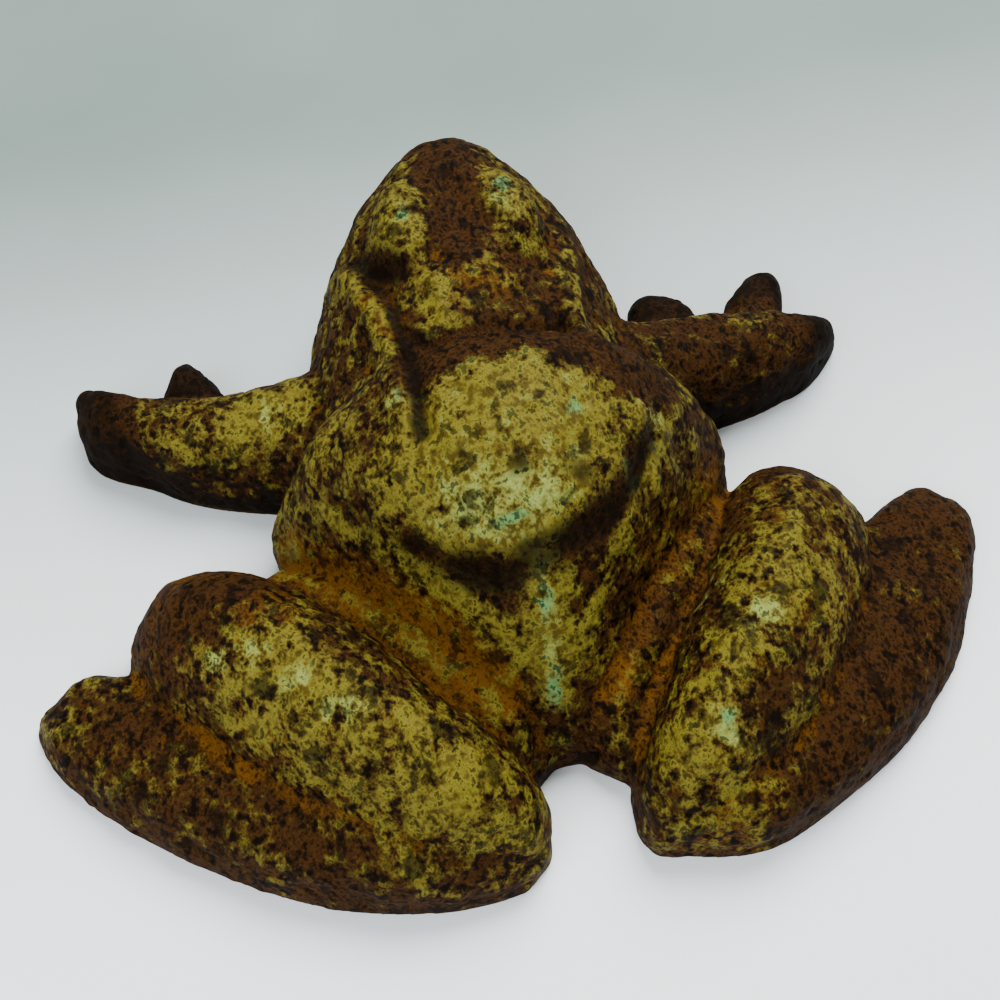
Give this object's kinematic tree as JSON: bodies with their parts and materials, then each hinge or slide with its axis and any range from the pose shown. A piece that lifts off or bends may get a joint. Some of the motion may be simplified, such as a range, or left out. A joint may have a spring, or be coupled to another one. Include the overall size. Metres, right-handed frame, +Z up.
{
  "type": "frog figurine",
  "caption": "Squatting frog figurine of cast iron, folded hind legs spread behind, arms out to the sides, hollow underneath and flat on its rim.",
  "frame": {"origin": "on the floor, under the middle of the bounding box", "axes": "+Z up, the snout towards -Y, the frog's own left side on +X"},
  "size_m": [0.1291, 0.1096, 0.0352],
  "materials": {
    "worn_painted_iron": "yellow-green paint worn through to dark brown iron",
    "bare_brown_iron": "dark red-brown oxidised iron with traces of paint"
  },
  "bodies": {
    "root": {"trunk": "worn_painted_iron", "head": "worn_painted_iron", "left_eye": "worn_painted_iron", "right_eye": "worn_painted_iron", "left_arm": "worn_painted_iron", "right_arm": "worn_painted_iron", "left_inner_finger": "bare_brown_iron", "right_inner_finger": "bare_brown_iron", "left_middle_finger": "bare_brown_iron", "right_middle_finger": "bare_brown_iron", "left_outer_finger": "bare_brown_iron", "right_outer_finger": "bare_brown_iron", "left_thigh": "worn_painted_iron", "right_thigh": "worn_painted_iron", "left_shank": "worn_painted_iron", "right_shank": "worn_painted_iron", "left_foot": "bare_brown_iron", "right_foot": "bare_brown_iron"}
  },
  "joints": []
}
